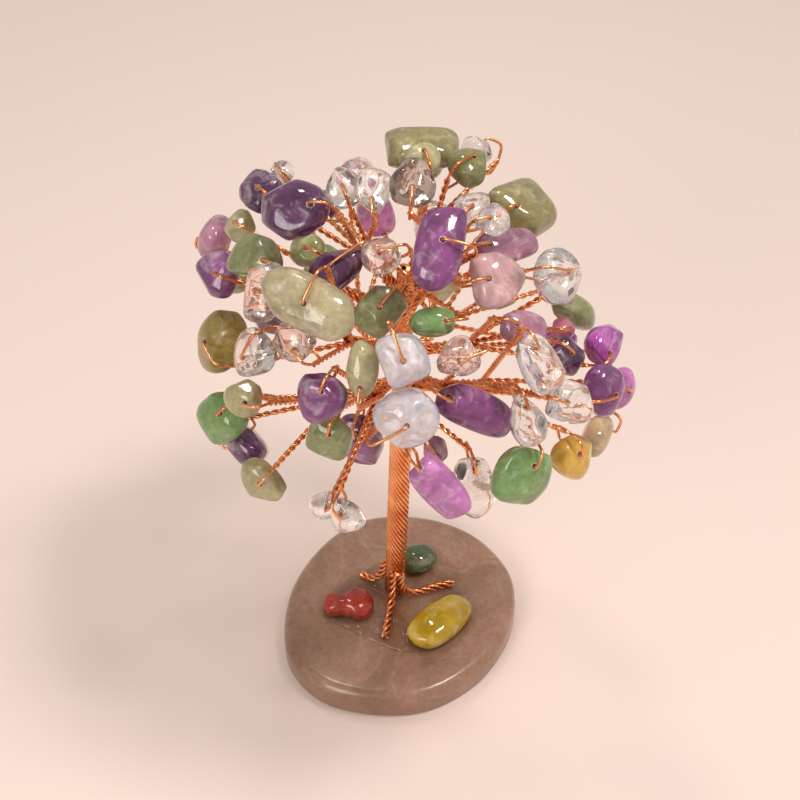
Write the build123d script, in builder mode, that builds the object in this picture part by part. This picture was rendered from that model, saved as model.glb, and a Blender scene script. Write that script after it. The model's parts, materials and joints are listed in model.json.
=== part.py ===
# Gemstone tree ornament: a twisted copper-wire tree with drilled gem chips, on a polished stone slab.
from build123d import *
import math
import os

# The slab: seen from above, millimetres from the middle of its bottom face
SLAB_THICKNESS = 6.0
SLAB_TOP_ROUND = 1.6
SLAB_BOTTOM_ROUND = 0.7
SLAB_OUTLINE = (
    (22.5, 2), (21, 10), (14.5, 18), (4.5, 22.3), (-7, 21.8), (-15.5, 15.5), (-21.5, 4),
    (-22, -9.5), (-16, -18.5), (-6, -22), (5, -21.3), (14.5, -15.3), (20.5, -6.5),
)

# Copper wire: one strand, a twisted pair (twig), several pairs (limb)
WIRE_DIAMETER = 0.5
TWIG_DIAMETER = 1.0
LIMB_DIAMETER = 2.2
KNOT_DIAMETER = 1.2
ROOT_DIAMETER = 1.7
EYE_BEND = 0.35
BEND_CLEARANCE = 0.3
TOUCH_CLEARANCE = 0.06
TWIG_GAP = 0.15

# The trunk: a bundle that leans a little, then thins as the limbs leave it
TRUNK_FOOT = (-1.1, 3.5)
TRUNK_HEAD = (0.5, 3.5)
TRUNK_HEIGHT = 60.0
TRUNK_DIAMETER = 4.0
LEADER_HEIGHT = 26.0
LEADER_TOP_DIAMETER = 2.2

# The crown: chips are placed in a tilted frame, across, up and towards someone looking down at the tree
CROWN_RISE = 13.0
LOOK_DOWN = 45.0
FACE_TURN = 0.7
FORK_SHARE = 0.42

# Chips: drilled through the broad face
HOLE_DIAMETER = 0.95
HOLE_MARGIN = 2.2
FACE_CLEARANCE = 0.26
EDGE_CLEARANCE = 0.45
SWING_ROOM = 1.2
PEBBLE_PROFILE = ((-0.5, 0.42), (-0.32, 0.84), (0.0, 1.0), (0.32, 0.84), (0.5, 0.42))

# Clear glue that holds the foot, the roots and the base stones
GLUE_HEIGHT = 1.1
GLUE_TOP_SHARE = 0.88
GLUE_OUTLINE = (
    (11.5, 3), (6, 9.5), (0.5, 12.5), (-6, 8.5), (-13, 3), (-15, -3), (-10, -6.5),
    (-5, -9.5), (1, -11.8), (8, -10.5), (13.5, -4),
)

# Outlines of a chip, of length and width 1, with the wire's side at -X
OUTLINES = {
    "oval": ((-0.5, 0), (-0.36, 0.36), (0, 0.5), (0.37, 0.35), (0.5, 0), (0.34, -0.37), (0, -0.5), (-0.37, -0.34)),
    "shield": ((-0.5, -0.1), (-0.42, 0.38), (-0.05, 0.5), (0.3, 0.28), (0.5, 0), (0.28, -0.3), (-0.08, -0.5),
               (-0.42, -0.4)),
    "drop": ((-0.5, 0), (-0.25, 0.3), (0.12, 0.5), (0.44, 0.3), (0.5, -0.08), (0.36, -0.42), (0.02, -0.5),
             (-0.3, -0.26)),
    "wedge": ((-0.5, 0.05), (-0.3, 0.3), (0.1, 0.42), (0.42, 0.5), (0.5, 0.2), (0.38, -0.3), (0.05, -0.5),
              (-0.35, -0.28)),
    "block": ((-0.5, -0.05), (-0.46, 0.4), (-0.1, 0.5), (0.4, 0.44), (0.5, 0.05), (0.44, -0.42), (0.05, -0.5),
              (-0.42, -0.42)),
    "rod": ((-0.5, 0.02), (-0.4, 0.36), (0, 0.5), (0.38, 0.4), (0.5, 0), (0.42, -0.34), (0.02, -0.5), (-0.38, -0.42)),
}

# Limbs: height at which each leaves the trunk, measured from the trunk's head
LIMBS = {
    "crown_top": 25.0,
    "high_left": 23.0,
    "left_upper": 17.0,
    "left_middle": 9.0,
    "left_lower": 1.0,
    "front_left": 4.5,
    "front": 0.0,
    "front_right": 3.5,
    "right_lower": 0.0,
    "right_middle": 8.0,
    "right_upper": 21.0,
    "front_top": 22.0,
    "back_left": 1.0,
    "back_right": 1.5,
}

# Each limb's chips: piece, outline, (across, up, towards), hang in degrees, (length, width, thickness), hole
CHIPS = {
    "crown_top": (
        ("green_chips", "block", (2.5, 28.5, 8), 90, (8.5, 13.5, 6), "end"),
        ("green_chips", "oval", (3, 26, 17), 100, (6, 6, 4.5), "middle"),
        ("green_chips", "shield", (10.5, 25.3, 13), 45, (7.5, 7.5, 5), "middle"),
        ("quartz_chips", "shield", (1.5, 22, 24), 84, (9, 7.5, 5.5), "end"),
        ("quartz_chips", "oval", (12, 29, -1), 75, (6, 6.5, 4.5), "end"),
    ),
    "high_left": (
        ("amethyst_chips", "oval", (-17, 17.5, 24), 170, (12.5, 10.5, 8), "end"),
        ("amethyst_chips", "block", (-23, 21.5, 10), 140, (7.5, 7, 5), "end"),
        ("amethyst_chips", "oval", (-12.8, 20, 0), 130, (6, 5.5, 4.5), "end"),
        ("quartz_chips", "oval", (-20, 25, 2), 130, (5, 4.5, 4), "middle"),
        ("quartz_chips", "shield", (-9.5, 22, 12), 110, (8, 6.5, 5), "end"),
        ("quartz_chips", "drop", (-4.8, 20.5, 20), 95, (9, 6.5, 5), "end"),
    ),
    "left_upper": (
        ("amethyst_chips", "block", (-31.5, 14.5, -2), 153, (8.5, 7, 5.5), "end"),
        ("amethyst_chips", "shield", (-30.5, 8.5, 5), 161, (10, 8.5, 6), "end"),
        ("green_chips", "oval", (-26.5, 16, 7), 150, (6, 6, 4.5), "end"),
        ("green_chips", "wedge", (-23, 10.5, 15.5), 157, (10.5, 8.5, 6), "end"),
        ("green_chips", "oval", (-15.5, 12, 10.7), 150, (6.5, 6, 4.5), "end"),
    ),
    "left_middle": (
        ("quartz_chips", "rod", (-21.5, 5, 24), 165, (7, 10.5, 5), "middle"),
        ("quartz_chips", "shield", (-24, -5, 13), 225, (9, 8, 5.5), "middle"),
        ("quartz_chips", "oval", (-17, -2.5, 18), 135, (7.5, 7, 5), "end"),
        ("green_chips", "rod", (-14, 3, 33), 243, (9, 17, 6.5), "middle"),
        ("green_chips", "oval", (-30, -2.5, 3), 150, (9, 14, 7), "middle"),
    ),
    "left_lower": (
        ("green_chips", "oval", (-25, -11.5, 18), 180, (7.5, 6.5, 5), "end"),
        ("green_chips", "block", (-29.5, -15, 8), 215, (10, 9, 6), "end"),
        ("amethyst_chips", "block", (-26, -20.5, -1), 244, (8.5, 10, 6), "end"),
        ("green_drop", "shield", (-23, -25.5, 8), 228, (8, 9, 5), "end"),
    ),
    "front_left": (
        ("amethyst_chips", "shield", (-12.7, -11.5, 26), 244, (9, 8.5, 6), "end"),
        ("amethyst_chips", "rod", (-7, -19, 1), 260, (12, 8, 6), "end"),
        ("green_chips", "block", (-11.5, -17.5, 18), 250, (7.5, 7.5, 5), "end"),
        ("green_chips", "oval", (-6.1, -6.5, 29), 85, (10, 5.5, 5), "end"),
        ("quartz_drop_rear", "drop", (-12.5, -29, 9), 235, (6.5, 5, 4), "end"),
        ("quartz_drop_fore", "drop", (-9, -30, 16), 285, (7, 6, 4.5), "end"),
    ),
    "front": (
        ("opalite_chips", "block", (0, -5, 34), 290, (8.5, 7.5, 6.5), "middle"),
        ("opalite_chips", "oval", (0.5, -14, 30), 30, (10.5, 10, 8), "middle"),
        ("amethyst_drop", "rod", (5.5, -25, 22), 303, (16, 6.5, 5.5), "end"),
        ("quartz_drop", "rod", (11.5, -26, 11), 285, (14.5, 7, 5.5), "end"),
    ),
    "front_right": (
        ("quartz_chips", "shield", (8, -5, 30), 200, (7.5, 6.5, 5), "middle"),
        ("quartz_chips", "drop", (18.8, -14.2, 26.5), 295, (9.5, 6, 5), "end"),
        ("amethyst_chips", "rod", (11, -13, 23), 330, (14.5, 7, 6), "end"),
        ("amethyst_chips", "oval", (5, -19.5, 18), 300, (5, 4.5, 4), "middle"),
        ("green_drop", "block", (18.5, -23.5, 19), 260, (10.5, 10, 6), "end"),
        ("citrine_drop", "shield", (27.5, -21.5, 8), 300, (9, 8.5, 5.5), "end"),
    ),
    "right_lower": (
        ("quartz_chips", "rod", (20.6, -6, 29.5), 300, (10.5, 6.5, 5), "end"),
        ("quartz_chips", "block", (26, -12, 21), 340, (9, 7, 5), "end"),
        ("amethyst_chips", "oval", (32, -10.5, 12), 0, (8, 10, 6), "middle"),
        ("amethyst_chips", "oval", (36, -10.5, 0), 340, (6, 8, 5), "end"),
        ("green_drop", "oval", (32.5, -18.5, -2), 325, (9, 7, 5), "end"),
    ),
    "right_middle": (
        ("green_chips", "rod", (28, 2.5, 2.5), 348, (12, 5.5, 5), "end"),
        ("amethyst_chips", "rod", (19, -0.5, 19), 345, (9.5, 6, 5), "end"),
        ("amethyst_chips", "oval", (25.8, -0.6, 8), 0, (4.5, 4, 3.5), "middle"),
        ("amethyst_chips", "block", (26.2, -4.8, 12.5), 330, (6.5, 5.5, 4.5), "end"),
        ("amethyst_chips", "shield", (32.8, -2.8, 6), 28, (9, 7, 5.5), "end"),
    ),
    "right_upper": (
        ("quartz_chips", "shield", (11, 18.3, 18), 45, (7, 6, 4.5), "end"),
        ("quartz_chips", "drop", (13.5, 16, 23.5), 20, (6, 5.5, 4), "end"),
        ("quartz_chips", "oval", (24.5, 7.8, 13), 0, (9, 10, 6), "middle"),
        ("green_chips", "block", (19.5, 19, 4), 35, (12.5, 11, 7), "end"),
        ("amethyst_chips", "rod", (16, 12.5, 16), 15, (12, 6, 5), "end"),
        ("amethyst_chips", "shield", (14.5, 7, 24), 10, (9.5, 10, 6), "end"),
    ),
    "front_top": (
        ("amethyst_chips", "rod", (5.5, 12, 30), 166, (8, 16.5, 6.5), "middle"),
        ("amethyst_chips", "wedge", (-10.5, 8.5, 18), 212, (11, 7.5, 6), "middle"),
        ("quartz_chips", "oval", (-3.5, 10.5, 24), 195, (6.5, 6.5, 5), "middle"),
        ("green_chips", "block", (-3.5, 2.5, 20), 230, (9.5, 7, 5.5), "middle"),
        ("green_chips", "oval", (4.5, 0.5, 26), 185, (8, 5, 4.5), "end"),
    ),
    "back_left": (
        ("amethyst_chips", "block", (-17, 20, -10), 120, (9, 8, 6), "end"),
        ("amethyst_chips", "shield", (-24, 2, -20), 180, (9, 8, 6), "end"),
        ("amethyst_chips", "rod", (-5, 20, -22), 110, (11, 7, 6), "end"),
        ("green_chips", "oval", (-29, 9, -12), 165, (9, 8, 6), "end"),
        ("green_chips", "block", (-14, 10, -26), 140, (9, 8, 6), "end"),
        ("quartz_chips", "shield", (-8, 26, -8), 100, (8, 7, 5), "end"),
        ("quartz_chips", "oval", (-27, -5, -14), 195, (8, 7, 5), "end"),
    ),
    "back_right": (
        ("amethyst_chips", "shield", (18, 18, -14), 45, (10, 8, 6), "end"),
        ("amethyst_chips", "block", (27, -4, -18), 350, (9, 8, 6), "end"),
        ("green_chips", "oval", (3, 28, -12), 80, (9, 8, 6), "end"),
        ("green_chips", "shield", (18, 7, -25), 30, (9, 8, 6), "end"),
        ("green_chips", "block", (6.5, 8, -31), 50, (8, 7, 5.5), "end"),
        ("quartz_chips", "oval", (27, 7, -14), 15, (9, 7, 5.5), "end"),
        ("quartz_chips", "rod", (5, 18.5, -25), 75, (10, 7, 5.5), "end"),
    ),
}

# Base stones, ground flat below: outline, middle on the slab, turn in degrees, (length, width, height)
STONE_SINK = 0.4
BASE_STONES = {
    "carnelian_stone": ("block", (-10.1, -1.7), 8, (11, 7.5, 4.6)),
    "citrine_stone": ("rod", (7.6, -6), 42, (15.5, 8.5, 5.2)),
    "aventurine_stone": ("oval", (3.4, 9.2), 20, (8, 6.5, 5)),
}

# Roots: strands that run down the trunk's side and spread over the slab; side in degrees, and tip
ROOT_RUN_UP = 7.0
ROOT_BEND = 2.2
ROOTS = (
    (165, (-7.7, 6.2)),
    (260, (-2.9, -8.7)),
    (302, (10.3, 4.3)),
)

WIRE_RADIUS = WIRE_DIAMETER / 2
TWIG_RADIUS = TWIG_DIAMETER / 2
LIMB_RADIUS = LIMB_DIAMETER / 2
SLAB_TOP = Plane.XY.offset(SLAB_THICKNESS)
HEAD_LEVEL = SLAB_THICKNESS + TRUNK_HEIGHT
ACROSS = Vector(1, 0, 0)
UP = Vector(0, math.sin(math.radians(LOOK_DOWN)), math.cos(math.radians(LOOK_DOWN)))
TOWARDS = ACROSS.cross(UP)
CROWN_CENTRE = Vector(*TRUNK_HEAD, HEAD_LEVEL + CROWN_RISE)


def trunk_sections():
    """Height, middle and radius of each ring that the trunk passes through."""
    foot = Vector(*TRUNK_FOOT, SLAB_THICKNESS)
    head = Vector(*TRUNK_HEAD, HEAD_LEVEL)
    tip = head + Vector(0, 0, LEADER_HEIGHT)
    return (
        (foot, TRUNK_DIAMETER / 2),
        (head, TRUNK_DIAMETER / 2),
        (tip, LEADER_TOP_DIAMETER / 2),
    )


def leader_radius(height):
    """Radius of the thinning leader at a height above the trunk's head."""
    share = height / LEADER_HEIGHT
    return (TRUNK_DIAMETER + (LEADER_TOP_DIAMETER - TRUNK_DIAMETER) * share) / 2


def pebble_half_thickness(share, thickness):
    """Half of a pebble's thickness where an outline of this share of the full size passes."""
    upper_half = [(height, scale) for height, scale in PEBBLE_PROFILE if height >= 0]
    for (low, wide), (high, narrow) in zip(upper_half, upper_half[1:]):
        if narrow <= share <= wide:
            return thickness * (low + (high - low) * (wide - share) / (wide - narrow))
    return thickness * upper_half[-1][0]


def pebble(plane, outline, size):
    """A tumbled pebble: its outline swells from one flat face to the other."""
    length, width, thickness = size
    with BuildPart() as stone:
        for height, scale in PEBBLE_PROFILE:
            with BuildSketch(plane.offset(height * thickness)):
                with BuildLine():
                    Spline(*[(x * length * scale, y * width * scale) for x, y in OUTLINES[outline]], periodic=True)
                make_face()
        loft()
    return stone


class Chip:
    """A drilled chip's place, its hole and the eye of wire that holds it."""

    def __init__(self, row):
        self.piece, self.outline, place, hang, self.size, hole = row
        length, width, thickness = self.size
        across, up, towards = place
        middle = CROWN_CENTRE + ACROSS * across + UP * up + TOWARDS * towards
        outward = (middle - CROWN_CENTRE).normalized()
        facing = outward if towards < 0 else (outward + TOWARDS * FACE_TURN).normalized()
        along = ACROSS * math.cos(math.radians(hang)) + UP * math.sin(math.radians(hang))
        along = along - facing * along.dot(facing)
        self.plane = Plane(origin=middle, x_dir=along, z_dir=facing)
        margin = HOLE_MARGIN if hole == "end" else length / 2
        self.hole_x = margin - length / 2
        self.hole = self.plane.from_local_coords(Vector(self.hole_x, 0, 0))
        self.eye_reach = margin * SWING_ROOM + WIRE_RADIUS + EDGE_CLEARANCE
        half = pebble_half_thickness(abs(self.hole_x) / (length / 2), thickness)
        self.eye_rise = half + WIRE_RADIUS + FACE_CLEARANCE
        self.knot = self.plane.from_local_coords(Vector(self.hole_x - self.eye_reach, 0, 0))

    def stone(self):
        """The chip itself, with its hole."""
        chip = pebble(self.plane, self.outline, self.size)
        with chip:
            with Locations(Plane(origin=self.hole, z_dir=self.plane.z_dir)):
                Cylinder(HOLE_DIAMETER / 2, self.size[2] * 2, mode=Mode.SUBTRACT)
        return chip.part

    def twig(self, start):
        """The twisted pair from the fork to the chip, and its eye through the hole."""
        reach, rise = self.eye_reach, self.eye_rise
        corner = 0.9 * min(rise - TOUCH_CLEARANCE, reach - EYE_BEND - TOUCH_CLEARANCE)
        run = self.knot - start
        with BuildPart(Plane(origin=start, z_dir=run)) as wire:
            Sphere(TWIG_RADIUS)
            Cylinder(TWIG_RADIUS, run.length, align=(Align.CENTER, Align.CENTER, Align.MIN))
            with Locations((0, 0, run.length)):
                Sphere(KNOT_DIAMETER / 2)
            with BuildLine(Plane(origin=self.hole, x_dir=self.plane.x_dir, z_dir=-self.plane.y_dir)) as eye:
                FilletPolyline(
                    (-reach, TOUCH_CLEARANCE), (-reach, rise), (0, rise),
                    (0, -rise), (-reach, -rise), (-reach, -TOUCH_CLEARANCE),
                    radius=(corner, EYE_BEND, EYE_BEND, corner),
                )
            with BuildSketch(Plane(origin=eye.line @ 0, z_dir=eye.line % 0)):
                Circle(WIRE_RADIUS)
            sweep(path=eye.line)
        return wire.part


class Limb:
    """A limb's place on the trunk, its fork and the twigs that leave the fork."""

    def __init__(self, name):
        self.name = name
        self.chips = [Chip(row) for row in CHIPS[name]]
        rise = LIMBS[name]
        on_axis = Vector(*TRUNK_HEAD, HEAD_LEVEL + rise)
        mean = sum((chip.knot for chip in self.chips), Vector()) / len(self.chips)
        away = mean - on_axis
        level = Vector(away.X, away.Y, 0).normalized()
        self.pivot = on_axis + level * (leader_radius(rise) + BEND_CLEARANCE + LIMB_RADIUS)
        self.bend_axis = Vector(level.Y, -level.X, 0)
        self.fork = self.pivot + (mean - self.pivot) * FORK_SHARE

    def starts(self):
        """Where each twig leaves the fork: a ring of twigs, in the order in which they fan out."""
        along = (self.fork - self.pivot).normalized()
        ring = Plane(origin=self.fork + along * (TWIG_RADIUS + TOUCH_CLEARANCE), z_dir=along)
        fan = []
        for chip in self.chips:
            local = ring.to_local_coords(chip.knot)
            fan.append(math.atan2(local.Y, local.X))
        count = len(fan)
        step = 2 * math.pi / count
        radius = (TWIG_DIAMETER + TWIG_GAP) / (2 * math.sin(step / 2))
        order = sorted(range(count), key=lambda index: fan[index])
        lag_x = sum(math.cos(fan[index] - slot * step) for slot, index in enumerate(order))
        lag_y = sum(math.sin(fan[index] - slot * step) for slot, index in enumerate(order))
        first = math.atan2(lag_y, lag_x)
        places = {}
        for slot, index in enumerate(order):
            turn = first + slot * step
            places[index] = ring.from_local_coords(Vector(radius * math.cos(turn), radius * math.sin(turn), 0))
        return [places[index] for index in range(count)]

    def wires(self):
        """The limb's stem and its twigs, each a separate twisted wire."""
        run = self.fork - self.pivot
        with BuildPart(Plane(origin=self.pivot, z_dir=run)) as stem:
            Sphere(LIMB_RADIUS)
            Cylinder(LIMB_RADIUS, run.length, align=(Align.CENTER, Align.CENTER, Align.MIN))
        twigs = [chip.twig(start) for chip, start in zip(self.chips, self.starts())]
        with BuildPart() as wires:
            add([stem.part] + twigs)
        return wires


def save(builder, name):
    """Label a finished piece and write it."""
    builder.part.label = name
    export_step(builder.part, f"parts/{name}.step")


os.makedirs("parts", exist_ok=True)

# Slab
with BuildPart() as slab:
    with BuildSketch():
        with BuildLine():
            Spline(*SLAB_OUTLINE, periodic=True)
        make_face()
    extrude(amount=SLAB_THICKNESS)
    fillet(slab.edges().group_by(Axis.Z)[-1], SLAB_TOP_ROUND)
    fillet(slab.edges().group_by(Axis.Z)[0], SLAB_BOTTOM_ROUND)
save(slab, "base_slab")

# Trunk bundle and leader
with BuildPart() as trunk:
    for middle, radius in trunk_sections():
        with BuildSketch(Plane.XY.offset(middle.Z)):
            with Locations((middle.X, middle.Y)):
                Circle(radius)
    loft(ruled=True)
save(trunk, "trunk_bundle")

# Roots
root_level = SLAB_THICKNESS + ROOT_DIAMETER / 2 + TOUCH_CLEARANCE
beside_trunk = TRUNK_DIAMETER / 2 + ROOT_DIAMETER / 2 + TOUCH_CLEARANCE
trunk_lean = Vector(*TRUNK_HEAD) - Vector(*TRUNK_FOOT)
run_up_lean = trunk_lean * ROOT_RUN_UP / TRUNK_HEIGHT
root_parts = []
for side, tip in ROOTS:
    knee = Vector(*TRUNK_FOOT) + Vector(beside_trunk, 0).rotate(Axis.Z, side)
    top = knee + run_up_lean
    with BuildPart() as strand:
        with BuildLine() as path:
            FilletPolyline(
                (top.X, top.Y, root_level + ROOT_RUN_UP), (knee.X, knee.Y, root_level), (*tip, root_level),
                radius=ROOT_BEND,
            )
        with BuildSketch(Plane(origin=path.line @ 0, z_dir=path.line % 0)):
            Circle(ROOT_DIAMETER / 2)
        sweep(path=path.line)
        with Locations(path.line @ 1):
            Sphere(ROOT_DIAMETER / 2)
    root_parts.append(strand.part)
with BuildPart() as roots:
    add(root_parts)
save(roots, "root_strands")

# Base stones
base_stone_parts = []
for name, (outline, place, turn, size) in BASE_STONES.items():
    seat = Plane(origin=(*place, SLAB_THICKNESS + size[2] / 2 - STONE_SINK), x_dir=Vector(1, 0, 0).rotate(Axis.Z, turn))
    base_stone = pebble(seat, outline, size)
    with base_stone:
        split(bisect_by=SLAB_TOP, keep=Keep.TOP)
    save(base_stone, name)
    base_stone_parts.append(base_stone.part)

# Glue, cut where the trunk, the roots and the stones stand in it
with BuildPart() as glue:
    for height, scale in ((0, 1), (GLUE_HEIGHT, GLUE_TOP_SHARE)):
        with BuildSketch(SLAB_TOP.offset(height)):
            with BuildLine():
                Spline(*[(x * scale, y * scale) for x, y in GLUE_OUTLINE], periodic=True)
            make_face()
    loft()
    add([trunk.part] + root_parts + base_stone_parts, mode=Mode.SUBTRACT)
save(glue, "glue_pool")

# Limbs and their chips
for name in LIMBS:
    limb = Limb(name)
    save(limb.wires(), f"{name}_limb_wires")
    print(name, "bends at", limb.pivot, "about", limb.bend_axis)
    pieces = {}
    for chip in limb.chips:
        pieces.setdefault(chip.piece, []).append(chip)
    for piece, chips in pieces.items():
        with BuildPart() as group:
            add([chip.stone() for chip in chips])
        save(group, f"{name}_{piece}")
        if "drop" in piece:
            print(f"{name}_{piece}", "swings at", chips[0].hole, "about", chips[0].plane.z_dir)
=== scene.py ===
# Looks of the gemstone tree ornament: twisted copper wire, tumbled gem chips, clear glue and a polished slab.
import json
import math

import bmesh
import bpy
import numpy as np
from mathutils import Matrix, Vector

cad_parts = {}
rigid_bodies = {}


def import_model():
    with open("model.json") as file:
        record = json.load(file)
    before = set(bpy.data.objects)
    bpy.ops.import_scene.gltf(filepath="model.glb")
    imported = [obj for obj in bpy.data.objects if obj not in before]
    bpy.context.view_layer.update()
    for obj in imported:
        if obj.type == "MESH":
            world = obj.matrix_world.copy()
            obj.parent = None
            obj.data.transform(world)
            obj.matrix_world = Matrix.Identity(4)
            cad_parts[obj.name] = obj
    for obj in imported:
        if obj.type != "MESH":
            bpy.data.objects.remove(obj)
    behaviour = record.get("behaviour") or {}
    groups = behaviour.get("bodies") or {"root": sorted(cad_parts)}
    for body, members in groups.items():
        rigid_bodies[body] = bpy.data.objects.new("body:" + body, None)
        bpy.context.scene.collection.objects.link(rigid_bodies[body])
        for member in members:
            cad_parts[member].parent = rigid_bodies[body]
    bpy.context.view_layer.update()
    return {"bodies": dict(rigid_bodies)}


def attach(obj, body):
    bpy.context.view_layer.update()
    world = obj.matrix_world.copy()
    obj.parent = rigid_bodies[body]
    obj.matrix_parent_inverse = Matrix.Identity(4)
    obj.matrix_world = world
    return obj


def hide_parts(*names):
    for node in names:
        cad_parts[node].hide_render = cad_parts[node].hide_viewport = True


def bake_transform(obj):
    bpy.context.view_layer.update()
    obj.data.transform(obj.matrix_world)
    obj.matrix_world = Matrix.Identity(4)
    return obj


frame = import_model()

# Sizes are in millimetres, as in the CAD source, and become metres when a mesh is made
MM = 0.001

# Slab and glue, seen from above
SLAB_THICKNESS = 6.0
SLAB_WORN_ROUND = 2.3
SLAB_BOTTOM_ROUND = 0.7
SLAB_OUTLINE = (
    (22.5, 2), (21, 10), (14.5, 18), (4.5, 22.3), (-7, 21.8), (-15.5, 15.5), (-21.5, 4),
    (-22, -9.5), (-16, -18.5), (-6, -22), (5, -21.3), (14.5, -15.3), (20.5, -6.5),
)
GLUE_OUTLINE = (
    (11.5, 3), (6, 9.5), (0.5, 12.5), (-6, 8.5), (-13, 3), (-15, -3), (-10, -6.5),
    (-5, -9.5), (1, -11.8), (8, -10.5), (13.5, -4),
)

# The glue's low dome, as rings: share of the outline, and height over the slab
GLUE_DOME = ((1.0, 0.02), (0.99, 0.3), (0.95, 0.62), (0.86, 0.9), (0.7, 1.02), (0.4, 1.1), (0.1, 1.1))

# The slab's top, as flat rings towards its middle: share of the outline
SLAB_FLAT_RINGS = (0.9, 0.7, 0.45, 0.2, 0.05)

# Copper wire
WIRE_DIAMETER = 0.5
TWIG_DIAMETER = 1.0
LIMB_DIAMETER = 2.2
ROOT_DIAMETER = 1.7
BEND_CLEARANCE = 0.3
TOUCH_CLEARANCE = 0.06
TWIG_GAP = 0.15

# Trunk, crown and drilled chips
TRUNK_FOOT = (-1.1, 3.5)
TRUNK_HEAD = (0.5, 3.5)
TRUNK_HEIGHT = 60.0
TRUNK_DIAMETER = 4.0
LEADER_HEIGHT = 26.0
LEADER_TOP_DIAMETER = 2.2
CROWN_RISE = 13.0
LOOK_DOWN = 45.0
FACE_TURN = 0.7
FORK_SHARE = 0.42
HOLE_DIAMETER = 0.95
HOLE_MARGIN = 2.2
FACE_CLEARANCE = 0.26
EDGE_CLEARANCE = 0.45
SWING_ROOM = 1.2

# A pebble's thickness from its middle, and its outline at that height, as shares of the whole
PEBBLE_PROFILE = ((0.0, 1.0), (0.32, 0.84), (0.5, 0.42))

# Outlines of a chip, of length and width 1, with the wire's side at -X
OUTLINES = {
    "oval": ((-0.5, 0), (-0.36, 0.36), (0, 0.5), (0.37, 0.35), (0.5, 0), (0.34, -0.37), (0, -0.5),
             (-0.37, -0.34)),
    "shield": ((-0.5, -0.1), (-0.42, 0.38), (-0.05, 0.5), (0.3, 0.28), (0.5, 0), (0.28, -0.3), (-0.08, -0.5),
               (-0.42, -0.4)),
    "drop": ((-0.5, 0), (-0.25, 0.3), (0.12, 0.5), (0.44, 0.3), (0.5, -0.08), (0.36, -0.42), (0.02, -0.5),
             (-0.3, -0.26)),
    "wedge": ((-0.5, 0.05), (-0.3, 0.3), (0.1, 0.42), (0.42, 0.5), (0.5, 0.2), (0.38, -0.3), (0.05, -0.5),
              (-0.35, -0.28)),
    "block": ((-0.5, -0.05), (-0.46, 0.4), (-0.1, 0.5), (0.4, 0.44), (0.5, 0.05), (0.44, -0.42), (0.05, -0.5),
              (-0.42, -0.42)),
    "rod": ((-0.5, 0.02), (-0.4, 0.36), (0, 0.5), (0.38, 0.4), (0.5, 0), (0.42, -0.34), (0.02, -0.5),
            (-0.38, -0.42)),
    "twin": ((-0.5, 0.02), (-0.42, 0.3), (-0.26, 0.34), (-0.1, 0.2), (0.04, 0.4), (0.24, 0.5), (0.44, 0.28),
             (0.5, -0.05), (0.4, -0.4), (0.16, -0.5), (-0.06, -0.32), (-0.24, -0.3), (-0.42, -0.22)),
}

# Limbs: height at which each leaves the trunk, measured from the trunk's head
LIMBS = {
    "crown_top": 25.0,
    "high_left": 23.0,
    "left_upper": 17.0,
    "left_middle": 9.0,
    "left_lower": 1.0,
    "front_left": 4.5,
    "front": 0.0,
    "front_right": 3.5,
    "right_lower": 0.0,
    "right_middle": 8.0,
    "right_upper": 21.0,
    "front_top": 22.0,
    "back_left": 1.0,
    "back_right": 1.5,
}

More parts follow.
